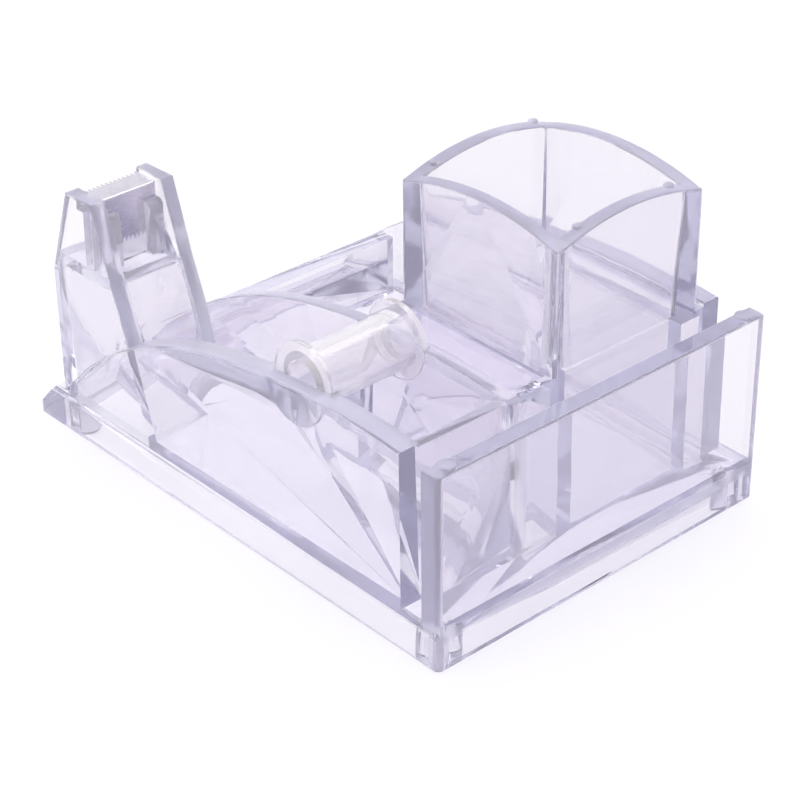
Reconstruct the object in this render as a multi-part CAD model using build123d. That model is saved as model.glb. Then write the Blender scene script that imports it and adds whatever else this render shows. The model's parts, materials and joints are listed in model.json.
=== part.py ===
from build123d import *
import math
import os

# Clear desk organiser with a tape dispenser, a pen cup, an open tray and a note slot.
# Millimetres, +Z up. The model is laid out from the corner of the base at the cutter end
# (x along the length, y across the width) and moved to the base's centre when it is written.

# ---- overall and base ----
base_length = 165.8
base_width = 114.0
corner_radius = 1.6
edge_break = 0.5
foot_height = 1.2
foot_radius = 3.9
foot_inset = 6.8
boss_radius = 4.4
floor_z = 12.4
deck_thickness = 3.2
skirt_thickness = 3.0
nose_tip_z = 3.6
nose_run = 8.1
edge_step = 0.6
edge_step_height = 1.6

# ---- note plate and slot ----
plate_thickness = 5.8
plate_top_z = 56.4
plate_corner_radius = 1.6
pad_height = 0.7
plate_pad_radius = 2.4
plate_pad_inset = 5.4
note_slot_width = 8.1

# ---- side walls: heights of the arched tops, and thicknesses ----
wall_end_z = 57.0
side_wall_top = 6.2
side_wall_foot = 7.4
side_arch_start = (15.1, 15.8)
side_arch_middle = (41.0, 37.2)
side_arch_knee = (76.3, 51.8)
middle_wall_thickness = 4.2
well_width = 28.4
inner_arch_start = (8.9, 15.6)
inner_arch_middle = (37.0, 38.0)
inner_arch_knee = (79.3, 54.1)
far_wall_thickness = 5.7
far_wall_inset = 2.6

# ---- tray end wall, cross wall and raised platform ----
tray_end_x = 26.9
tray_end_thickness = 5.2
tray_end_z = 31.0
cross_wall_thickness = 3.1
platform_z = 56.0
platform_thickness = 3.1

# ---- pen cup ----
cup_length = 55.3
cup_width = 51.3
cup_gap_to_far_wall = 2.8
cup_rim_wall = 4.3
cup_foot_wall = 4.9
cup_corner_z = 90.4
cup_arch_rise = 4.6
well_wall_setback = 4.0
cup_corner_round = 0.9

# ---- cutter post ----
post_front_x = 11.4
post_knee_z = 51.8
post_top_front = (19.5, 75.8)
post_top_rear = (31.1, 76.2)
post_rear_shoulder = (37.8, 55.2)
post_rear_waist = (42.9, 42.0)
post_rear_foot_x = 51.1
cheek_setback = 1.0
cheek_thickness = 5.1
far_cheek_thickness = 4.1
post_wall_thickness = 3.4
post_web_thickness = 3.7
ledge_thickness = 3.5

# ---- blade and what holds it ----
blade_width = 17.9
blade_side_gap = 0.15
blade_thickness = 0.5
blade_bend_x = 28.2
blade_top_z = 74.7
blade_flange_length = 8.4
blade_drop = 14.4
tooth_count = 13
tooth_depth = 1.7
carrier_thickness = 3.0
carrier_overhang = 2.2
tab_width = 4.3
tab_thickness = 2.8
tab_height = 15.3

# ---- tape hub and its seats ----
hub_x = 111.9
hub_z = 57.0
seat_radius = 10.9
seat_depth = 2.1
hub_radial_gap = 0.4
hub_end_gap = 0.3
hub_flange_thickness = 1.6
hub_barrel_radius = 7.8
hub_bore_radius = 5.6

# ---- places worked out from the sizes above ----
plate_x = base_length - plate_thickness
wall_end_x = plate_x - note_slot_width
cross_x = wall_end_x - cross_wall_thickness
side_y = edge_step
well_y0 = side_y + side_wall_top
well_y1 = well_y0 + well_width
middle_y1 = well_y1 + middle_wall_thickness
far_y1 = base_width - far_wall_inset
far_y0 = far_y1 - far_wall_thickness
cup_x0 = wall_end_x - cup_length
cup_y1 = far_y0 - cup_gap_to_far_wall
cup_y0 = cup_y1 - cup_width
platform_x1 = cup_x0 + cup_foot_wall
well_far_y = cup_y1 - cup_foot_wall - well_wall_setback
cheek_y0 = side_y + cheek_setback
cheek_y1 = cheek_y0 + cheek_thickness
post_gap = blade_width + 2 * blade_side_gap
far_cheek_y0 = cheek_y1 + post_gap
far_cheek_y1 = far_cheek_y0 + far_cheek_thickness
ledge_z = post_rear_shoulder[1]
carrier_x1 = blade_bend_x - blade_thickness
carrier_top_z = blade_top_z - blade_thickness


def block(x0, x1, y0, y1, z0, z1):
    """A box between two corners."""
    return Pos((x0 + x1) / 2, (y0 + y1) / 2, (z0 + z1) / 2) * Box(x1 - x0, y1 - y0, z1 - z0)


def across(face, y0, y1):
    """A profile drawn in x and z, carried across the width from y0 to y1."""
    return extrude(Pos(0, y0, 0) * face, y1 - y0, dir=(0, 1, 0))


def outline(points):
    """A face with straight sides through points given as (x, z)."""
    return make_face(Polyline(*[(x, 0, z) for x, z in points], close=True))


def arched_profile(start, middle, knee):
    """Side of a wall whose top sweeps up from the nose in one arc and runs on in a flatter one."""
    top = [(x, 0, z) for x, z in (start, middle, knee)]
    end = (wall_end_x, 0, wall_end_z)
    rise = ThreePointArc(*top)
    crest = TangentArc(rise @ 1, end, tangent=rise % 1)
    foot = Polyline(end, (wall_end_x, 0, floor_z), (start[0], 0, floor_z), top[0])
    return make_face([rise, crest, foot])


def curved_edges(solid):
    """The edges along an arched top."""
    return solid.edges().filter_by(GeomType.LINE, reverse=True)


def hub_seat(y0, y1):
    """The round recess that takes one end of the tape hub."""
    turned = Rot(90, 0, 0) * Cylinder(seat_radius, y1 - y0)
    return Pos(hub_x, (y0 + y1) / 2, hub_z) * turned


# ---- base: a deck with a sloped nose, on skirts that stand on four feet ----
def footprint(z0, z1):
    """The base's plan with its rounded corners, as a prism."""
    plan = RectangleRounded(base_length, base_width, corner_radius)
    return Pos(base_length / 2, base_width / 2, z0) * extrude(plan, z1 - z0)


def cored_hollows():
    """Plans of the hollows that are open only from below: beside the cup's well and in the post."""
    post_x0 = post_front_x + post_wall_thickness
    post_x1 = post_rear_foot_x - post_web_thickness
    return [
        (platform_x1, cross_x, middle_y1, cup_y0),
        (platform_x1, cross_x, well_far_y + cup_foot_wall, far_y0),
        (post_x0, post_x1, side_y + side_wall_foot, far_cheek_y0),
    ]


def base_deck():
    under_z = floor_z - deck_thickness
    nose_back = nose_run + skirt_thickness
    side = outline([
        (0, foot_height),
        (0, nose_tip_z),
        (nose_run, floor_z),
        (base_length, floor_z),
        (base_length, under_z),
        (nose_back, under_z),
        (nose_back, foot_height),
    ])
    deck = across(side, 0, base_width) & footprint(foot_height, floor_z)
    for x0, x1, y0, y1 in cored_hollows():
        deck -= block(x0, x1, y0, y1, under_z, floor_z)
    step_z = floor_z - edge_step_height
    near_step = block(0, base_length, 0, edge_step, step_z, floor_z)
    far_step = block(0, base_length, base_width - edge_step, base_width, step_z, floor_z)
    return deck - near_step - far_step


def foot_centres():
    """Where the four feet sit, near the corners and clear of the nose."""
    xs = (nose_run + skirt_thickness + boss_radius, base_length - foot_inset)
    return [(x, y) for y in (foot_inset, base_width - foot_inset) for x in xs]


def skirt(y0, y1, centres):
    """One long side of the skirt with the bosses over its two feet."""
    under_z = floor_z - deck_thickness
    length = block(nose_run + skirt_thickness, base_length, y0, y1, foot_height, under_z)
    for x, y in centres:
        boss = Cylinder(boss_radius, under_z - foot_height)
        length += Pos(x, y, (under_z + foot_height) / 2) * boss
    return length & footprint(foot_height, under_z)


def rear_skirt():
    under_z = floor_z - deck_thickness
    x0 = base_length - skirt_thickness
    bar = block(x0, base_length, skirt_thickness, base_width - skirt_thickness, foot_height, under_z)
    for x, y in foot_centres():
        bar -= Pos(x, y, 0) * Cylinder(boss_radius, 4 * floor_z)
    return bar


# ---- walls ----
def side_wall():
    """The tape well's outer wall, thicker at its foot, with the near hub seat."""
    sheet = across(arched_profile(side_arch_start, side_arch_middle, side_arch_knee),
                   side_y, side_y + side_wall_foot)
    crest = side_arch_knee[1] + side_wall_foot
    section = make_face(Polyline(
        (0, side_y, floor_z),
        (0, side_y + side_wall_foot, floor_z),
        (0, side_y + side_wall_top, wall_end_z),
        (0, side_y + side_wall_top, crest),
        (0, side_y, crest),
        close=True,
    ))
    drafted = sheet & extrude(section, base_length, dir=(1, 0, 0))
    outer_edges = [e for e in curved_edges(drafted) if e.center().Y < side_y + edge_break]
    drafted = chamfer(outer_edges, edge_break)
    return drafted - hub_seat(well_y0 - seat_depth, well_y0 + side_wall_foot)


def middle_wall():
    """The wall between the tape well and the tray, with the far hub seat."""
    sheet = across(arched_profile(inner_arch_start, inner_arch_middle, inner_arch_knee),
                   well_y1, middle_y1)
    sheet = chamfer(curved_edges(sheet), edge_break)
    return sheet - hub_seat(well_y1 - seat_depth, well_y1 + seat_depth)


def far_wall():
    sheet = across(arched_profile(inner_arch_start, inner_arch_middle, inner_arch_knee),
                   far_y0, far_y1)
    return chamfer(curved_edges(sheet), edge_break)


def note_plate():
    """The upright plate, with a low round pad near each end of its top edge."""
    plate = block(plate_x, base_length, 0, base_width, floor_z, plate_top_z)
    corners = plate.edges().filter_by(Axis.Z).group_by(Axis.X)[-1]
    plate = fillet(corners, plate_corner_radius)
    plate = chamfer(plate.edges().group_by(Axis.Z)[-1], edge_break)
    middle_x = plate_x + plate_thickness / 2
    pad = Cylinder(plate_pad_radius, 2 * pad_height)
    for y in (plate_pad_inset, base_width - plate_pad_inset):
        plate += Pos(middle_x, y, plate_top_z) * pad
    return plate


# ---- pen cup ----
def arched_wall(length):
    """A cup wall along x with its outer face at y = 0: thinner at its rim, with a top that arches."""
    foot_z, corner_z = platform_z, cup_corner_z
    peak_z = corner_z + cup_arch_rise
    left, right = -length / 2, length / 2
    top = ThreePointArc((left, 0, corner_z), (0, 0, peak_z), (right, 0, corner_z))
    sides = Polyline((right, 0, corner_z), (right, 0, foot_z), (left, 0, foot_z), (left, 0, corner_z))
    sheet = across(make_face([top, sides]), 0, cup_foot_wall)
    section = make_face(Polyline(
        (left, 0, foot_z),
        (left, cup_foot_wall, foot_z),
        (left, cup_rim_wall, peak_z),
        (left, 0, peak_z),
        close=True,
    ))
    drafted = sheet & extrude(section, length, dir=(1, 0, 0))
    return chamfer(curved_edges(drafted), edge_break)


def pen_cup():
    """Four arched walls round a square bore, with upright corners that are slightly rounded."""
    cup = Part()
    turns = [(cup_length, cup_width), (cup_width, cup_length)] * 2
    for quarter, (length, span) in enumerate(turns):
        cup += Rot(0, 0, 90 * quarter) * Pos(0, -span / 2, 0) * arched_wall(length)
    height = cup_corner_z + cup_arch_rise - platform_z
    plan = extrude(RectangleRounded(cup_length, cup_width, cup_corner_round), height)
    cup &= Pos(0, 0, platform_z) * plan
    return Pos(cup_x0 + cup_length / 2, (cup_y0 + cup_y1) / 2, 0) * cup


# ---- cutter post ----
def post_outline():
    """Side of the cutter post: upright front, swept back above the knee, flared foot behind."""
    return outline([
        (post_front_x, floor_z),
        (post_front_x, post_knee_z),
        post_top_front,
        post_top_rear,
        post_rear_shoulder,
        post_rear_waist,
        (post_rear_foot_x, floor_z),
    ])


def cheek(y0, y1):
    """One side of the post, with its edges broken above the ledge."""
    plate = across(post_outline(), y0, y1)
    crown = [e for e in plate.edges() if e.center().Z > ledge_z and abs(e.tangent_at(0.5).Y) < 0.5]
    return chamfer(crown, edge_break)


def post_front_wall():
    return block(post_front_x, post_front_x + post_wall_thickness, cheek_y1, far_cheek_y0,
                 floor_z, ledge_z - ledge_thickness)


def post_web(wall):
    """The sloped wall at the back of the post, from the ledge down to the tape well's floor."""
    shoulder_x, shoulder_z = post_rear_shoulder
    side = outline([
        (shoulder_x - post_web_thickness, shoulder_z),
        post_rear_shoulder,
        post_rear_waist,
        (post_rear_foot_x, floor_z),
        (post_rear_foot_x - post_web_thickness, floor_z),
        (post_rear_waist[0] - post_web_thickness, post_rear_waist[1]),
    ])
    return across(side, cheek_y1, far_cheek_y0) - wall


def post_ledge():
    slab = block(post_front_x, post_rear_shoulder[0] - post_web_thickness, cheek_y1, far_cheek_y0,
                 ledge_z - ledge_thickness, ledge_z)
    return slab & across(post_outline(), cheek_y1, far_cheek_y0)


def blade_carrier():
    """The upright behind the blade and the shelf that its top flange lies on."""
    shelf_x = blade_bend_x - blade_flange_length + carrier_overhang
    side = outline([
        (carrier_x1 - carrier_thickness, ledge_z),
        (carrier_x1, ledge_z),
        (carrier_x1, carrier_top_z),
        (shelf_x, carrier_top_z),
        (shelf_x, carrier_top_z - carrier_thickness),
        (carrier_x1 - carrier_thickness, carrier_top_z - carrier_thickness),
    ])
    return across(side, cheek_y1, far_cheek_y0)


def blade_tab(y0):
    """One of the two tabs that hold the blade's flange against the carrier."""
    tab = block(blade_bend_x, blade_bend_x + tab_thickness, y0, y0 + tab_width,
                ledge_z, ledge_z + tab_height)
    crown = tab.edges().filter_by(Axis.Y).group_by(Axis.Z)[-1].sort_by(Axis.X)[-1]
    return fillet(crown, tab_thickness * 0.6)


# ---- blade ----
def tooth_row(length, count):
    """The notches between the teeth of an edge along y: triangles, as (edge offset, y)."""
    pitch = length / count
    notches = []
    for i in range(count - 1):
        y = pitch * (i + 1)
        notches.append([(0, y - pitch / 2), (tooth_depth, y), (0, y + pitch / 2)])
    return notches


def cutter_blade():
    """A bent steel strip with a row of teeth along its front edge and a finer lower edge."""
    y0 = cheek_y1 + blade_side_gap
    y1 = y0 + blade_width
    tip_x = blade_bend_x - blade_flange_length
    foot_z = blade_top_z - blade_drop
    strip = outline([
        (tip_x, carrier_top_z),
        (carrier_x1, carrier_top_z),
        (carrier_x1, foot_z),
        (blade_bend_x, foot_z),
        (blade_bend_x, blade_top_z),
        (tip_x, blade_top_z),
    ])
    blade = across(strip, y0, y1)
    bend = blade.edges().filter_by(Axis.Y).group_by(Axis.Z)[-1].sort_by(Axis.X)[-1]
    blade = fillet(bend, blade_thickness * 0.8)
    for notch in tooth_row(blade_width, tooth_count):
        flat = [(tip_x + d, y0 + y, carrier_top_z) for d, y in notch]
        blade -= extrude(make_face(Polyline(*flat, close=True)), blade_thickness, dir=(0, 0, 1))
        upright = [(carrier_x1, y0 + y, foot_z + d) for d, y in notch]
        blade -= extrude(make_face(Polyline(*upright, close=True)), blade_thickness, dir=(1, 0, 0))
    return blade


# ---- tape hub ----
def tape_hub():
    """A hollow spool on the seats' axis: two end flanges in the seats and a plain barrel."""
    y0 = well_y0 - seat_depth + hub_end_gap
    y1 = well_y1 + seat_depth - hub_end_gap
    flange_radius = seat_radius - hub_radial_gap
    half = [
        (hub_bore_radius, y0),
        (flange_radius, y0),
        (flange_radius, y0 + hub_flange_thickness),
        (hub_barrel_radius, y0 + hub_flange_thickness),
        (hub_barrel_radius, y1 - hub_flange_thickness),
        (flange_radius, y1 - hub_flange_thickness),
        (flange_radius, y1),
        (hub_bore_radius, y1),
    ]
    section = make_face(Polyline(*[(r, y, 0) for r, y in half], close=True))
    return Pos(hub_x, 0, hub_z) * revolve(section, Axis.Y)


wall = side_wall()
centres = foot_centres()
near, far = centres[:2], centres[2:]
parts = {
    "base_deck": base_deck(),
    "base_skirt_near": skirt(0, skirt_thickness, near),
    "base_skirt_far": skirt(base_width - skirt_thickness, base_width, far),
    "base_skirt_rear": rear_skirt(),
    "side_wall": wall,
    "middle_wall": middle_wall(),
    "far_wall": far_wall(),
    "note_plate": note_plate(),
    "tray_end_wall": block(tray_end_x, tray_end_x + tray_end_thickness, middle_y1, far_y0,
                           floor_z, tray_end_z),
    "tape_cross_wall": block(cross_x, wall_end_x, side_y, well_y1, floor_z, platform_z) - wall,
    "cup_cross_wall": block(cross_x, wall_end_x, middle_y1, far_y0, floor_z, platform_z),
    "platform_front_wall": block(cup_x0, platform_x1, middle_y1, far_y0, floor_z, platform_z),
    "platform_near_strip": block(platform_x1, cross_x, middle_y1, cup_y0,
                                 platform_z - platform_thickness, platform_z),
    "platform_far_strip": block(platform_x1, cross_x, well_far_y, far_y0,
                                platform_z - platform_thickness, platform_z),
    "cup_well_near_wall": block(platform_x1, cross_x, cup_y0, cup_y0 + cup_foot_wall,
                                floor_z, platform_z),
    "cup_well_far_wall": block(platform_x1, cross_x, well_far_y, well_far_y + cup_foot_wall,
                               floor_z, platform_z - platform_thickness),
    "pen_cup": pen_cup(),
    "post_near_cheek": cheek(cheek_y0, cheek_y1) - wall,
    "post_far_cheek": cheek(far_cheek_y0, far_cheek_y1),
    "post_front_wall": post_front_wall(),
    "post_web": post_web(wall),
    "post_ledge": post_ledge(),
    "blade_carrier": blade_carrier(),
    "blade_tab_near": blade_tab(cheek_y1),
    "blade_tab_far": blade_tab(far_cheek_y0 - tab_width),
    "cutter_blade": cutter_blade(),
    "tape_hub": tape_hub(),
}
for number, (x, y) in enumerate(centres, 1):
    parts[f"foot_{number}"] = Pos(x, y, foot_height / 2) * Cylinder(foot_radius, foot_height)

os.makedirs("parts", exist_ok=True)
for name, shape in parts.items():
    centred = Pos(-base_length / 2, -base_width / 2, 0) * shape
    export_step(centred, f"parts/{name}.step")
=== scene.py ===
# %% [markdown]
# # A clear desk organizer
#
# This lesson dresses a finished CAD model of a moulded plastic organizer: a tape dispenser with a
# steel cutter, a square pen cup, a tray and a slot for notes. The CAD gives every shape and size in
# metres. What is left for Blender is what makes clear plastic look like clear plastic: one unbroken
# solid, a little colour in its depth, and a pale, even room for it to bend.

# %% Load the frame
import bpy
import bmesh
import json
import math
from mathutils import Matrix, Vector

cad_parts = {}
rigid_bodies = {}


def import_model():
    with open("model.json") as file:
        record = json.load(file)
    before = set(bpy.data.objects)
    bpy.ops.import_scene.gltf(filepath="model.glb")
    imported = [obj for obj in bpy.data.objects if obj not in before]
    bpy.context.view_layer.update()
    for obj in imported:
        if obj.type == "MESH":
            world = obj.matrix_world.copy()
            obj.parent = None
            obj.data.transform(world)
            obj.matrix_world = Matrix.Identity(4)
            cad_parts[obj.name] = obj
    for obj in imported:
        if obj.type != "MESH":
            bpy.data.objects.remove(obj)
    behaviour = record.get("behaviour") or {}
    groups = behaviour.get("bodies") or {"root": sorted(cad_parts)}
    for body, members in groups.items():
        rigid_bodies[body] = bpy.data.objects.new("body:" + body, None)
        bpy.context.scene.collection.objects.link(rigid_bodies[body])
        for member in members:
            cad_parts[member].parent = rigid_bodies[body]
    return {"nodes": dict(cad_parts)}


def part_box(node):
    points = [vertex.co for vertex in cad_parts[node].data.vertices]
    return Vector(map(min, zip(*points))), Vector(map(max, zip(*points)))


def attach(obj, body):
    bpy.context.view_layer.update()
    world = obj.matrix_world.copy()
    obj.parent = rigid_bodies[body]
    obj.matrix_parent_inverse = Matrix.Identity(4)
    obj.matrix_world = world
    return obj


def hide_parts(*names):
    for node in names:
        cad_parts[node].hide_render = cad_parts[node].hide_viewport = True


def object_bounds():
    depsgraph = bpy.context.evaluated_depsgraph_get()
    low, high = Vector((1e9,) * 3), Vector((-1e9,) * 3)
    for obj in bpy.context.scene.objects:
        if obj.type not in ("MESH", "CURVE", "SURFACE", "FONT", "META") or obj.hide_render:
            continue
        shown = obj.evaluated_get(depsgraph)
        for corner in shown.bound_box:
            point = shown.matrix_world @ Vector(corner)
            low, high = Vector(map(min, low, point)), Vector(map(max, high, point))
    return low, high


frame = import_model()
cad_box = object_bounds()
MM = 0.001
print("nodes", len(frame["nodes"]), "size in mm", [round(v / MM, 1) for v in cad_box[1] - cad_box[0]])

# %% [markdown]
# ## The camera
#
# The photograph looks down at the organizer from its plate end, from about two feet away. A short
# distance matters here, because the near corner looks clearly larger than the far one. The camera
# could be tracked to an empty, but a matrix made from three axes says the same with no constraint
# and also holds the small roll of a hand-held shot.

# %% Camera
CAMERA_AZIMUTH = math.radians(48.31)
CAMERA_ELEVATION = math.radians(31.21)
CAMERA_ROLL = math.radians(-0.63)
CAMERA_DISTANCE = 618.0 * MM
CAMERA_LENS = 106.74
CAMERA_SENSOR = 36.0
CAMERA_AIM = Vector((19.56, -11.82, 31.09)) * MM


def placed(name, data):
    """A new object in the scene that shows this data."""
    piece = bpy.data.objects.new(name, data)
    bpy.context.scene.collection.objects.link(piece)
    return piece


def place_camera():
    """A camera that looks at CAMERA_AIM from the photograph's side."""
    data = bpy.data.cameras.new("camera")
    data.lens = CAMERA_LENS
    data.sensor_width = CAMERA_SENSOR
    camera = placed("camera", data)
    flat = math.cos(CAMERA_ELEVATION)
    back = Vector((
        math.sin(CAMERA_AZIMUTH) * flat,
        -math.cos(CAMERA_AZIMUTH) * flat,
        math.sin(CAMERA_ELEVATION),
    ))
    right = Vector((math.cos(CAMERA_AZIMUTH), math.sin(CAMERA_AZIMUTH), 0.0))
    up = back.cross(right)
    rolled_right = math.cos(CAMERA_ROLL) * right + math.sin(CAMERA_ROLL) * up
    rolled_up = math.cos(CAMERA_ROLL) * up - math.sin(CAMERA_ROLL) * right
    turn = Matrix((rolled_right, rolled_up, back)).transposed()
    place = CAMERA_AIM + back * CAMERA_DISTANCE
    camera.matrix_world = Matrix.Translation(place) @ turn.to_4x4()
    bpy.context.scene.camera = camera
    return camera


camera = place_camera()
print("camera at", [round(v, 3) for v in camera.location])

# %% [markdown]
# ## Small forms on the cup
#
# Two small forms on the cup are made here and not in the CAD. Its inner corners are rounded, more at
# the foot than at the rim, which gives them the broad bands that the photograph shows. The far corner
# shows only a thin line, so its round is small. The rims also carry four little round pads, where a
# pin pushed the moulding out. Both could be carved into the cup's own mesh. A small solid that
# overlaps the wall is simpler, because the union in the next step takes it in.

# %% Cup corners, in millimetres
CUP_X = (18.6, 64.1)
CUP_Y = (-0.5, 41.0)
CUP_FOOT_Z = 56.0
CUP_ROUND_TOP_Z = 91.0
CUP_DRAFT = 0.5
BROAD_ROUND = (2.6, 0.9)
THIN_ROUND = (0.8, 0.4)
CORNER_ROUNDS = {(0, 0): BROAD_ROUND, (1, 0): BROAD_ROUND, (1, 1): BROAD_ROUND, (0, 1): THIN_ROUND}
CORNER_STEPS = 8
ROUND_OVERLAP = 0.4


def quarter_turn(steps):
    """Angles from nothing to a right angle in equal steps."""
    return [math.pi / 2 * step / steps for step in range(steps + 1)]


def outward_mesh(work, name):
    """The mesh of a closed bmesh, with its faces turned outward."""
    bmesh.ops.recalc_face_normals(work, faces=work.faces)
    mesh = bpy.data.meshes.new(name)
    work.to_mesh(mesh)
    work.free()
    return mesh


def corner_ring(x, y, z, to_x, to_y, radius):
    """One level of a corner round: the corner inside the wall, then a hollow arc."""
    back = -ROUND_OVERLAP
    flat = [(back, back), (radius, back)]
    for turn in quarter_turn(CORNER_STEPS):
        flat.append((radius - radius * math.sin(turn), radius - radius * math.cos(turn)))
    flat.append((back, radius))
    return [Vector((x + to_x * u, y + to_y * v, z)) * MM for u, v in flat]


def corner_round(name, side_x, side_y):
    """A hollow fillet up one inner corner of the cup, as a mesh."""
    to_x, to_y = 1 - 2 * side_x, 1 - 2 * side_y
    x, y = CUP_X[side_x], CUP_Y[side_y]
    at_foot, at_top = CORNER_ROUNDS[side_x, side_y]
    foot = corner_ring(x, y, CUP_FOOT_Z, to_x, to_y, at_foot)
    top = corner_ring(x - to_x * CUP_DRAFT, y - to_y * CUP_DRAFT, CUP_ROUND_TOP_Z, to_x, to_y, at_top)
    count = len(foot)
    work = bmesh.new()
    verts = [work.verts.new(point) for point in foot + top]
    work.faces.new(verts[:count])
    work.faces.new(reversed(verts[count:]))
    for i in range(count):
        j = (i + 1) % count
        work.faces.new((verts[i], verts[j], verts[count + j], verts[count + i]))
    return outward_mesh(work, name)


extras = [corner_round(f"corner_{side_x}{side_y}", side_x, side_y) for side_x, side_y in CORNER_ROUNDS]
print("rounds in the cup's corners:", [mesh.name for mesh in extras])

# %% Rim pads
RIM_PADS_MM = [(65.8, 4.2, 93.2), (65.7, 36.4, 93.2), (16.2, 3.5, 93.0), (14.7, 40.0, 92.3)]
RIM_PAD_RADIUS = 1.35 * MM
RIM_PAD_FOOT = -1.2 * MM
RIM_PAD_TOP = 0.7 * MM
RIM_PAD_EDGE = 0.3 * MM
ARC_STEPS = 6
TURN_STEPS = 48
WELD = 1e-6


def turned(name, profile, centre):
    """A solid of revolution, as a mesh, from radius and height pairs about a line through centre."""
    work = bmesh.new()
    verts = [work.verts.new(centre + Vector((r, 0.0, z))) for r, z in profile]
    edges = [work.edges.new(pair) for pair in zip(verts, verts[1:])]
    around = {"cent": centre, "axis": (0, 0, 1), "angle": math.tau, "steps": TURN_STEPS}
    bmesh.ops.spin(work, geom=verts + edges, **around)
    bmesh.ops.remove_doubles(work, verts=work.verts, dist=WELD)
    return outward_mesh(work, name)


def rounded_rim(radius, low, high, rim):
    """Half section of a disc from low to high, with its upper edge rounded by rim."""
    points = [(0.0, low), (radius, low)]
    for turn in quarter_turn(ARC_STEPS):
        points.append((radius - rim + rim * math.cos(turn), high - rim + rim * math.sin(turn)))
    return points + [(0.0, high)]


profile = rounded_rim(RIM_PAD_RADIUS, RIM_PAD_FOOT, RIM_PAD_TOP, RIM_PAD_EDGE)
for number, place in enumerate(RIM_PADS_MM):
    extras.append(turned(f"rim_pad_{number}", profile, Vector(place) * MM))
print("small forms on the cup:", len(extras))

# %% [markdown]
# ## One solid of clear plastic
#
# The body is a single moulding, but the CAD keeps its walls as separate solids that touch. With an
# opaque finish nobody would see the joints. In clear plastic each touching pair of faces would show
# as a mirror-like seam, because a ray would leave one solid and enter the next. A Boolean union
# removes every inner face, so light runs through the corners as it does in the real moulding. The
# cup is joined in too, since the photograph shows no seam where it meets the walls below it.
#
# Faces that only just touch are the hardest case for a Boolean, and left a hole at one ledge. So
# each solid grows by a few thousandths of a millimetre first, which makes neighbours overlap, and
# afterwards the whole body is scaled back by as little, so that it fits the CAD's box again.
#
# The blade is cut out of the plastic with a hair of space round it. Where plastic and steel touch
# exactly, light is caught between them and the place turns black.

# %% Grow a solid
OVERLAP = 0.004 * MM
BLADE_CLEARANCE = 0.05 * MM
LONGEST_MITRE = 3.0


def clean_copy(node):
    """A copy of a node's mesh with its doubled corners welded, as an object outside the scene."""
    mesh = frame["nodes"][node].data.copy()
    work = bmesh.new()
    work.from_mesh(mesh)
    bmesh.ops.remove_doubles(work, verts=work.verts, dist=WELD)
    work.to_mesh(mesh)
    work.free()
    return bpy.data.objects.new("part_" + node, mesh)


def grown(node, distance):
    """A copy of a node with each face moved out by this distance."""
    piece = clean_copy(node)
    work = bmesh.new()
    work.from_mesh(piece.data)
    work.normal_update()
    moves = [v.normal * min(v.calc_shell_factor(), LONGEST_MITRE) * distance for v in work.verts]
    for vert, move in zip(work.verts, moves):
        vert.co += move
    work.to_mesh(piece.data)
    work.free()
    return piece


print("each clear solid grows by", OVERLAP / MM, "mm")
print("space round the blade", BLADE_CLEARANCE / MM, "mm")

# %% Join the clear solids
NOT_JOINED = {"cutter_blade", "tape_hub", "foot_1", "foot_2", "foot_3", "foot_4"}
CLEAR = sorted(set(frame["nodes"]) - NOT_JOINED)
CUBIC_CM = 1e-6


def add_boolean(piece, operation, **operand):
    """An exact Boolean modifier on a piece, with what it joins or cuts."""
    modifier = piece.modifiers.new(operation.lower(), "BOOLEAN")
    modifier.operation = operation
    modifier.solver = "EXACT"
    for key, value in operand.items():
        setattr(modifier, key, value)


def fit_to_box(mesh):
    """Scale a mesh back by the little that it grew, and print what it is like."""
    work = bmesh.new()
    work.from_mesh(mesh)
    reach = [max(abs(vert.co[axis]) for vert in work.verts) for axis in range(3)]
    shrink = Vector([min(1.0, cad_box[1][axis] / reach[axis]) for axis in range(3)])
    bmesh.ops.scale(work, vec=shrink, verts=work.verts)
    volume = round(work.calc_volume() / CUBIC_CM)
    odd_edges = sum(1 for edge in work.edges if not edge.is_manifold)
    work.to_mesh(mesh)
    work.free()
    print(mesh.name, len(mesh.polygons), "faces,", volume, "cm3,", odd_edges, "edges without two faces")


def union_mesh(nodes, added, name):
    """The nodes and added meshes as one mesh with no faces inside, cut clear of the blade."""
    scene = bpy.context.scene.collection
    base = grown(nodes[0], OVERLAP)
    scene.objects.link(base)
    others = bpy.data.collections.new("others")
    scene.children.link(others)
    for node in nodes[1:]:
        others.objects.link(grown(node, OVERLAP))
    for extra in added:
        others.objects.link(bpy.data.objects.new(extra.name, extra))
    add_boolean(base, "UNION", operand_type="COLLECTION", collection=others)
    blade = grown("cutter_blade", BLADE_CLEARANCE)
    scene.objects.link(blade)
    add_boolean(base, "DIFFERENCE", object=blade)
    graph = bpy.context.evaluated_depsgraph_get()
    mesh = bpy.data.meshes.new_from_object(base.evaluated_get(graph))
    mesh.name = name
    mesh.materials.clear()
    for piece in [base, blade, *others.objects]:
        bpy.data.objects.remove(piece)
    bpy.data.collections.remove(others)
    fit_to_box(mesh)
    return mesh


clear_body = placed("clear_body", union_mesh(CLEAR, extras, "clear_body"))
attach(clear_body, "organizer")
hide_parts(*CLEAR)

# %% [markdown]
# ## Crisp edges and smooth arcs
#
# Every edge of a moulding is slightly broken. The CAD does that with narrow chamfers, which stay
# crisp here, while the arcs and rounds are shaded smooth. Weighted normals keep the big faces flat,
# because a face's own direction counts by its area.

# %% Shade the body
SMOOTH_ANGLE = math.radians(30)
LARGE_FACE_WEIGHT = 100


def smooth_under(mesh, angle):
    """Shade a mesh smooth, apart from its edges that turn by more than this angle."""
    mesh.shade_smooth()
    mesh.set_sharp_from_angle(angle=angle)


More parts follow.
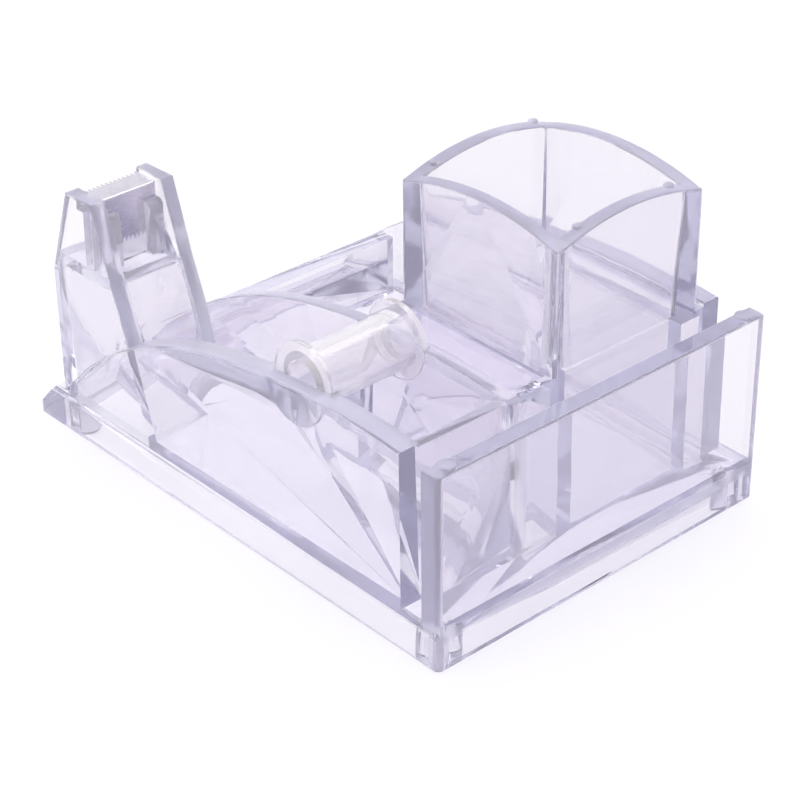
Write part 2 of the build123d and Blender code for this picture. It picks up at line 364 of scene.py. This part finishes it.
smooth_under(clear_body.data, SMOOTH_ANGLE)
weighted = clear_body.modifiers.new("weighted normals", "WEIGHTED_NORMAL")
weighted.keep_sharp = True
weighted.weight = LARGE_FACE_WEIGHT
print("smooth under", round(math.degrees(SMOOTH_ANGLE)), "degrees")

# %% [markdown]
# ## Telling the edges from the faces
#
# A mould is polished where the product is looked through, and less in its narrow grooves. So the
# rims and the ends of the walls come out duller than their broad faces, and show as plain soft bands
# instead of clear windows. A second material would be one way to show this, but the plastic has a
# volume, and a volume has to go in and out by the same material. A number on each face says it too:
# 1 on a narrow face and 0 on a broad one. The union leaves a wall in many pieces, so they are first
# gathered into flat patches, and a patch is narrow when its area is small for its reach.

# %% Mark the narrow faces
NARROW = 4.5 * MM
FLAT_ANGLE = 0.02
EDGE_MARK = "narrow_face"


def flat_patch(seed, seen):
    """The faces joined to seed that lie in its plane."""
    patch = [seed]
    seen.add(seed.index)
    for face in patch:
        for edge in face.edges:
            for near in edge.link_faces:
                turned_by = near.normal.angle(seed.normal, math.pi)
                if near.index not in seen and turned_by < FLAT_ANGLE:
                    seen.add(near.index)
                    patch.append(near)
    return patch


def is_narrow(patch):
    """True where a patch's area is less than NARROW times its reach."""
    corners = [vert.co for face in patch for vert in face.verts]
    reach = Vector([max(axis) - min(axis) for axis in zip(*corners)]).length
    return sum(face.calc_area() for face in patch) < NARROW * reach


def mark_narrow_faces(mesh):
    """Write EDGE_MARK on each face, 1 where its flat patch is narrow."""
    work = bmesh.new()
    work.from_mesh(mesh)
    mark = work.faces.layers.float.new(EDGE_MARK)
    seen = set()
    broad = 0
    for seed in work.faces:
        if seed.index in seen:
            continue
        patch = flat_patch(seed, seen)
        narrow = is_narrow(patch)
        broad += not narrow
        for face in patch:
            face[mark] = float(narrow)
    work.to_mesh(mesh)
    work.free()
    print("broad flat patches", broad)


mark_narrow_faces(clear_body.data)

# %% [markdown]
# ## Small helpers for materials
#
# A material is a graph, and graphs read best when each node is made, set and linked in one line.
# `new_material` starts an empty one, `add` makes a node and sets its sockets by name, and `join`
# links an output to an input. `group` starts a graph that several materials can share, and `dress`
# gives a finished material to a node of the CAD, whose own mesh stays as it is.

# %% Helpers for node graphs
def new_material(name):
    """An empty material and its node tree."""
    material = bpy.data.materials.new(name)
    material.use_nodes = True
    material.node_tree.nodes.clear()
    return material, material.node_tree


def add(tree, kind, values=None, **settings):
    """A node of this kind with its settings, and values for its inputs by name or number."""
    node = tree.nodes.new(kind)
    for key, value in settings.items():
        setattr(node, key, value)
    for key, value in (values or {}).items():
        node.inputs[key].default_value = value
    return node


def join(tree, source, output, target, socket):
    """Link an output of source to an input of target, each by name or number."""
    tree.links.new(source.outputs[output], target.inputs[socket])


def group(name, inputs, outputs):
    """A shader group with float inputs, given as name and start value, and its two end nodes."""
    tree = bpy.data.node_groups.new(name, "ShaderNodeTree")
    for key, value in inputs:
        socket = tree.interface.new_socket(key, in_out="INPUT", socket_type="NodeSocketFloat")
        socket.default_value = value
    for key in outputs:
        tree.interface.new_socket(key, in_out="OUTPUT", socket_type="NodeSocketFloat")
    return tree, tree.nodes.new("NodeGroupInput"), tree.nodes.new("NodeGroupOutput")


def blend_of_colors(tree, first, second):
    """A node that goes from the first colour to the second."""
    node = add(tree, "ShaderNodeMix", data_type="RGBA")
    node.inputs["A"].default_value = first
    node.inputs["B"].default_value = second
    return node


def dress(node, material):
    """Give a CAD node this material alone."""
    slots = frame["nodes"][node].data.materials
    slots.clear()
    slots.append(material)


print("materials so far:", len(bpy.data.materials))

# %% [markdown]
# ## Moulding ripple
#
# Cheap clear plastic is never optically flat. It shrinks as it cools, so its faces carry slow waves
# and a few short ridges, which is why the photograph shows smears of light inside the walls. The
# body and the hub both use the effect, so it is a node group that puts out a height.

# %% Ripple group
WAVE_SCALE = 30.0
RIDGE_SHARE = 0.3
RIDGES_PER_WAVE = 2.7


def ripple_group():
    """Slow waves and shorter ridges, as a height from 0 to 1."""
    inputs = [("Wave Scale", WAVE_SCALE), ("Ridge Share", RIDGE_SHARE)]
    tree, start, end = group("moulding_ripple", inputs, ["Height"])
    place = add(tree, "ShaderNodeTexCoord")
    slow = add(tree, "ShaderNodeTexNoise", {"Detail": 1.0, "Roughness": 0.4})
    ridges = add(tree, "ShaderNodeTexNoise", {"Detail": 2.0, "Roughness": 0.5, "Distortion": 0.8})
    finer = add(tree, "ShaderNodeMath", {1: RIDGES_PER_WAVE}, operation="MULTIPLY")
    both = add(tree, "ShaderNodeMix", data_type="FLOAT")
    join(tree, place, "Object", slow, "Vector")
    join(tree, place, "Object", ridges, "Vector")
    join(tree, start, "Wave Scale", slow, "Scale")
    join(tree, start, "Wave Scale", finer, 0)
    join(tree, finer, 0, ridges, "Scale")
    join(tree, start, "Ridge Share", both, "Factor")
    join(tree, slow, 0, both, "A")
    join(tree, ridges, 0, both, "B")
    join(tree, both, "Result", end, "Height")
    return tree


ripple = ripple_group()
print(ripple.name, len(ripple.nodes), "nodes")

# %% [markdown]
# ## Fine handling marks
#
# Polished plastic picks up hairlines and a faint haze wherever it is touched, and steel dulls in
# spots. They hardly show from a distance, but they break up the perfect highlights that give a
# computer image away. This group puts out a mask. The plastics turn it into a little roughness, and
# the steel into a duller colour.

# %% Handling marks group
MARK_SCALE = 60.0
HAIRLINES_PER_SMEAR = 9.0
HAIRLINE_STRETCH = (1.0, 6.0, 1.0)
HAIRLINE_TURN = (0.3, 0.2, 0.7)
MARKS_FROM = 0.22
MARKS_TO = 0.42


def marks_group():
    """A mask of faint smears and hairlines from 0 to 1."""
    tree, start, end = group("handling_marks", [("Scale", MARK_SCALE)], ["Mask"])
    place = add(tree, "ShaderNodeTexCoord")
    stretch = {"Scale": HAIRLINE_STRETCH, "Rotation": HAIRLINE_TURN}
    stretched = add(tree, "ShaderNodeMapping", stretch)
    smears = add(tree, "ShaderNodeTexNoise", {"Detail": 3.0, "Roughness": 0.6})
    lines = add(tree, "ShaderNodeTexNoise", {"Detail": 4.0, "Roughness": 0.7})
    finer = add(tree, "ShaderNodeMath", {1: HAIRLINES_PER_SMEAR}, operation="MULTIPLY")
    both = add(tree, "ShaderNodeMath", operation="MULTIPLY")
    shaped = add(tree, "ShaderNodeMapRange", {"From Min": MARKS_FROM, "From Max": MARKS_TO})
    join(tree, place, "Object", stretched, "Vector")
    join(tree, place, "Object", smears, "Vector")
    join(tree, stretched, 0, lines, "Vector")
    join(tree, start, "Scale", smears, "Scale")
    join(tree, start, "Scale", finer, 0)
    join(tree, finer, 0, lines, "Scale")
    join(tree, smears, 0, both, 0)
    join(tree, lines, 0, both, 1)
    join(tree, both, 0, shaped, "Value")
    join(tree, shaped, 0, end, "Mask")
    return tree


marks = marks_group()
print(marks.name, len(marks.nodes), "nodes")

# %% [markdown]
# ## Clear polystyrene
#
# Polystyrene bends light strongly, with an index of 1.59. Its slight violet tint only builds up with
# depth: a broad face is almost colourless, while an edge that is seen down the length of a wall is a
# dull slate blue. A tinted surface can't do that, but absorption in the volume does, and it gets the
# thin and the thick parts right by itself. The surface also scatters a little light, so each face
# has some plain matt colour mixed in, and the body's narrow faces have a little more of it. Lamps
# are let through the plastic as through a pale filter, since a real wall throws only a faint shadow.

# %% Clear plastic
PLASTIC_IOR = 1.59
SURFACE_TINT = (0.985, 0.97, 0.98, 1.0)
TINT_DENSITY = 17.0
TINT_COLOR = (0.52, 0.55, 0.72, 1.0)
SHADOW_TINT = (0.86, 0.85, 0.91, 1.0)
EDGE_HAZE = 0.16
EDGE_ROUGHNESS = 0.28
MARK_ROUGHNESS = 0.035


def clear_plastic(name, wave_scale, wave_depth, haze, haze_color):
    """Clear plastic that waves at this scale by this depth in metres, with a share of haze."""
    material, tree = new_material(name)
    out = add(tree, "ShaderNodeOutputMaterial")
    edge = add(tree, "ShaderNodeAttribute", attribute_name=EDGE_MARK)
    multiply_add = {"operation": "MULTIPLY_ADD", "use_clamp": True}
    duller = add(tree, "ShaderNodeMath", {1: EDGE_ROUGHNESS}, **multiply_add)
    veil = add(tree, "ShaderNodeMapRange", {"To Min": haze, "To Max": EDGE_HAZE})
    milky = add(tree, "ShaderNodeBsdfDiffuse", {"Color": haze_color})
    hazy = add(tree, "ShaderNodeMixShader")
    glass = add(tree, "ShaderNodeBsdfPrincipled", {
        "Base Color": SURFACE_TINT,
        "Metallic": 0.0,
        "Transmission Weight": 1.0,
        "IOR": PLASTIC_IOR,
    })
    rippled = add(tree, "ShaderNodeGroup", {"Wave Scale": wave_scale}, node_tree=ripple)
    bump = add(tree, "ShaderNodeBump", {"Strength": 1.0, "Distance": wave_depth})
    marked = add(tree, "ShaderNodeGroup", node_tree=marks)
    rough = add(tree, "ShaderNodeMapRange", {"To Min": 0.0, "To Max": MARK_ROUGHNESS})
    path = add(tree, "ShaderNodeLightPath")
    through = add(tree, "ShaderNodeBsdfTransparent", {"Color": SHADOW_TINT})
    mix = add(tree, "ShaderNodeMixShader")
    depth = add(tree, "ShaderNodeVolumeAbsorption", {"Color": TINT_COLOR, "Density": TINT_DENSITY})
    join(tree, rippled, "Height", bump, "Height")
    join(tree, bump, "Normal", glass, "Normal")
    join(tree, marked, "Mask", rough, "Value")
    join(tree, edge, "Fac", duller, 0)
    join(tree, rough, 0, duller, 2)
    join(tree, duller, 0, glass, "Roughness")
    join(tree, edge, "Fac", veil, "Value")
    join(tree, veil, 0, hazy, 0)
    join(tree, glass, 0, hazy, 1)
    join(tree, milky, 0, hazy, 2)
    join(tree, path, "Is Shadow Ray", mix, 0)
    join(tree, hazy, 0, mix, 1)
    join(tree, through, 0, mix, 2)
    join(tree, mix, 0, out, "Surface")
    join(tree, depth, 0, out, "Volume")
    return material


# %% Dress the body and the hub
body_plastic = clear_plastic(
    "clear_polystyrene",
    wave_scale=38.0,
    wave_depth=0.07 * MM,
    haze=0.10,
    haze_color=(0.87, 0.83, 0.92, 1.0),
)
hub_plastic = clear_plastic(
    "hub_polystyrene",
    wave_scale=90.0,
    wave_depth=0.03 * MM,
    haze=0.17,
    haze_color=(0.97, 0.95, 0.93, 1.0),
)
clear_body.data.materials.append(body_plastic)
dress("tape_hub", hub_plastic)
print("plastics:", body_plastic.name, hub_plastic.name)

# %% [markdown]
# ## The cutter
#
# The blade is a strip of thin steel, bent once and rolled bright. Rolling leaves fine lines along
# the strip, and the bend and teeth catch the light. A metal is its reflection, so its colour stays
# nearly plain and the lines go into the roughness and a shallow bump.

# %% Steel
STEEL_COLOR = (0.82, 0.80, 0.84, 1.0)
WORN_STEEL = (0.68, 0.66, 0.70, 1.0)
STEEL_ROUGHNESS = {"To Min": 0.16, "To Max": 0.34}
STEEL_MARK_SCALE = 240.0
ROLLED_LINES = {"Scale": 5200.0, "Detail": 3.0, "Roughness": 0.6}
ROLLED_STRETCH = (1.0, 0.04, 1.0)
ROLLED_DEPTH = 0.02 * MM


def rolled_steel(name):
    """Bright strip steel with fine lines along y."""
    material, tree = new_material(name)
    out = add(tree, "ShaderNodeOutputMaterial")
    steel = add(tree, "ShaderNodeBsdfPrincipled", {"Metallic": 1.0})
    place = add(tree, "ShaderNodeTexCoord")
    stretched = add(tree, "ShaderNodeMapping", {"Scale": ROLLED_STRETCH})
    lines = add(tree, "ShaderNodeTexNoise", ROLLED_LINES)
    rough = add(tree, "ShaderNodeMapRange", STEEL_ROUGHNESS)
    bump = add(tree, "ShaderNodeBump", {"Strength": 0.5, "Distance": ROLLED_DEPTH})
    colour = blend_of_colors(tree, STEEL_COLOR, WORN_STEEL)
    marked = add(tree, "ShaderNodeGroup", {"Scale": STEEL_MARK_SCALE}, node_tree=marks)
    join(tree, place, "Object", stretched, "Vector")
    join(tree, stretched, 0, lines, "Vector")
    join(tree, lines, 0, rough, "Value")
    join(tree, rough, 0, steel, "Roughness")
    join(tree, lines, 0, bump, "Height")
    join(tree, bump, 0, steel, "Normal")
    join(tree, marked, "Mask", colour, "Factor")
    join(tree, colour, "Result", steel, "Base Color")
    join(tree, steel, 0, out, "Surface")
    return material


dress("cutter_blade", rolled_steel("rolled_steel"))
print("blade:", frame["nodes"]["cutter_blade"].data.materials[0].name)

# %% [markdown]
# ## The feet
#
# Four round pads of soft, cloudy rubber keep the organizer from sliding. In the photograph they only
# show as mottled discs through the corners of the base. Each is turned from a short profile with a
# rounded rim, like a drop of set gel, and stays a hair below the plastic, so that the two surfaces
# don't coincide.

# %% Rubber
DARK_GEL = (0.20, 0.20, 0.24, 1.0)
PALE_GEL = (0.90, 0.90, 0.94, 1.0)
GEL_SPOT_SCALE = 900.0
GEL_CLOUD_SCALE = 420.0
GEL_DEPTH = 0.1 * MM


def cloudy_rubber(name):
    """Soft rubber, mottled like set gel."""
    material, tree = new_material(name)
    out = add(tree, "ShaderNodeOutputMaterial")
    rubber = add(tree, "ShaderNodeBsdfPrincipled", {"Roughness": 0.55, "IOR": 1.5})
    place = add(tree, "ShaderNodeTexCoord")
    spots = add(tree, "ShaderNodeTexVoronoi", {"Scale": GEL_SPOT_SCALE})
    cloud = add(tree, "ShaderNodeTexNoise", {"Scale": GEL_CLOUD_SCALE, "Detail": 3.0})
    both = add(tree, "ShaderNodeMath", operation="MULTIPLY")
    colour = blend_of_colors(tree, DARK_GEL, PALE_GEL)
    bump = add(tree, "ShaderNodeBump", {"Strength": 0.6, "Distance": GEL_DEPTH})
    join(tree, place, "Object", spots, "Vector")
    join(tree, place, "Object", cloud, "Vector")
    join(tree, spots, "Distance", both, 0)
    join(tree, cloud, 0, both, 1)
    join(tree, both, 0, colour, "Factor")
    join(tree, colour, "Result", rubber, "Base Color")
    join(tree, both, 0, bump, "Height")
    join(tree, bump, 0, rubber, "Normal")
    join(tree, rubber, 0, out, "Surface")
    return material


pad_rubber = cloudy_rubber("cloudy_rubber")
print(pad_rubber.name, len(pad_rubber.node_tree.nodes), "nodes")

# %% Pads
PAD_COUNT = 4
PAD_GAP = 0.05 * MM
PAD_RIM = 0.14
PAD_SMOOTH_ANGLE = math.radians(40)


def pad_profile(radius, height):
    """Half section of a pad from the middle of its underside to the middle of its top."""
    rim = radius * PAD_RIM
    points = [(0.0, 0.0), (radius - 2 * rim, 0.0)]
    for turn in quarter_turn(ARC_STEPS):
        points.append((radius - rim + rim * math.sin(turn), height * 0.5 * (1 - math.cos(turn))))
    points += [(radius, height), (0.0, height)]
    return points


for number in range(1, PAD_COUNT + 1):
    node = f"foot_{number}"
    low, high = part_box(node)
    centre = Vector(((low.x + high.x) / 2, (low.y + high.y) / 2, low.z))
    profile = pad_profile((high.x - low.x) / 2, high.z - low.z - PAD_GAP)
    pad = placed(f"pad_{number}", turned(f"pad_{number}", profile, centre))
    smooth_under(pad.data, PAD_SMOOTH_ANGLE)
    pad.data.materials.append(pad_rubber)
    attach(pad, "organizer")
    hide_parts(node)
    print(pad.name, "at", [round(v / MM, 1) for v in centre], "mm")

# %% [markdown]
# ## The table and the room
#
# The photograph is cut out on white and has little contrast, so the plastic was lit from all round.
# The table is pale card that glows white to the camera, and to rays that come off metal or through
# plastic, so that these show the same background. A third of it stays matt and takes the object's
# soft shadow. The room is a pale lavender in every direction, which the plastic bends into view
# without a hard light or dark line. Two large, weak lamps are enough to give the shadow.

# %% Table
TABLE_HALF = 3.0
TABLE_COLOR = (0.92, 0.90, 0.94, 1.0)
TABLE_GLOW = 0.66
WHITE = (1.0, 1.0, 1.0, 1.0)


def backdrop_rays(tree):
    """1 for rays from the camera, off a shiny surface or through plastic."""
    path = add(tree, "ShaderNodeLightPath")
    bent = add(tree, "ShaderNodeMath", operation="MAXIMUM")
    shown = add(tree, "ShaderNodeMath", operation="MAXIMUM")
    join(tree, path, "Is Glossy Ray", bent, 0)
    join(tree, path, "Is Transmission Ray", bent, 1)
    join(tree, path, "Is Camera Ray", shown, 0)
    join(tree, bent, 0, shown, 1)
    return shown


def table_material():
    """Matt card that mostly glows white where it is seen."""
    material, tree = new_material("table")
    out = add(tree, "ShaderNodeOutputMaterial")
    matt = add(tree, "ShaderNodeBsdfDiffuse", {"Color": TABLE_COLOR})
    white = add(tree, "ShaderNodeEmission", {"Color": WHITE, "Strength": 1.0})
    share = add(tree, "ShaderNodeMath", {1: TABLE_GLOW}, operation="MULTIPLY")
    mix = add(tree, "ShaderNodeMixShader")
    join(tree, backdrop_rays(tree), 0, share, 0)
    join(tree, share, 0, mix, 0)
    join(tree, matt, 0, mix, 1)
    join(tree, white, 0, mix, 2)
    join(tree, mix, 0, out, "Surface")
    return material


def make_table():
    """A plane under the feet."""
    mesh = bpy.data.meshes.new("table")
    signs = [(-1, -1), (1, -1), (1, 1), (-1, 1)]
    corners = [(x * TABLE_HALF, y * TABLE_HALF, cad_box[0].z) for x, y in signs]
    mesh.from_pydata(corners, [], [(0, 1, 2, 3)])
    table = placed("table", mesh)
    mesh.materials.append(table_material())


make_table()
print("table", 2 * TABLE_HALF, "m wide")

# %% Room
ROOM_WALLS = (0.88, 0.86, 0.92, 1.0)
ROOM_TOP = (0.86, 0.84, 0.90, 1.0)
DIM_FROM = 0.22
DIM_TO = 0.70


def make_room():
    """A pale lavender room that is slightly dimmer towards the top."""
    world = bpy.data.worlds.new("room")
    bpy.context.scene.world = world
    world.use_nodes = True
    tree = world.node_tree
    tree.nodes.clear()
    out = add(tree, "ShaderNodeOutputWorld")
    place = add(tree, "ShaderNodeTexCoord")
    parts = add(tree, "ShaderNodeSeparateXYZ")
    dimming = {"From Min": DIM_FROM, "From Max": DIM_TO}
    height = add(tree, "ShaderNodeMapRange", dimming, interpolation_type="SMOOTHSTEP")
    colour = blend_of_colors(tree, ROOM_WALLS, ROOM_TOP)
    light = add(tree, "ShaderNodeBackground", {"Strength": 1.0})
    join(tree, place, "Generated", parts, 0)
    join(tree, parts, "Z", height, "Value")
    join(tree, height, 0, colour, "Factor")
    join(tree, colour, "Result", light, "Color")
    join(tree, light, 0, out, "Surface")
    print(world.name, "walls", ROOM_WALLS[:3], "top", ROOM_TOP[:3])


make_room()

# %% Lamps
LAMP_AIM = Vector((0.0, 0.0, 0.04))


def soft_lamp(name, place, size, watts):
    """A square area lamp that faces the object."""
    data = bpy.data.lights.new(name, "AREA")
    data.size = size
    data.energy = watts
    lamp = placed(name, data)
    place = Vector(place)
    aim = (LAMP_AIM - place).to_track_quat("-Z", "Y")
    lamp.matrix_world = Matrix.Translation(place) @ aim.to_matrix().to_4x4()
    print(name, watts, "W")


soft_lamp("overhead", place=(-0.2, 0.2, 1.1), size=0.8, watts=6.0)
soft_lamp("window", place=(-0.9, -0.5, 0.7), size=0.5, watts=3.0)

# %% [markdown]
# ## Light through many walls
#
# A ray that meets the pen cup head on crosses a dozen surfaces before it reaches the table, and more
# inside the wall ends. With too few bounces those places turn black, so the limits go up.

# %% Bounces and view
WALL_BOUNCES = 40
GLOSSY_BOUNCES = 24

scene = bpy.context.scene
scene.cycles.max_bounces = WALL_BOUNCES
scene.cycles.transmission_bounces = WALL_BOUNCES
scene.cycles.glossy_bounces = GLOSSY_BOUNCES
scene.cycles.transparent_max_bounces = WALL_BOUNCES
scene.view_settings.view_transform = "Standard"
print("bounces", WALL_BOUNCES, "of them glossy", GLOSSY_BOUNCES)
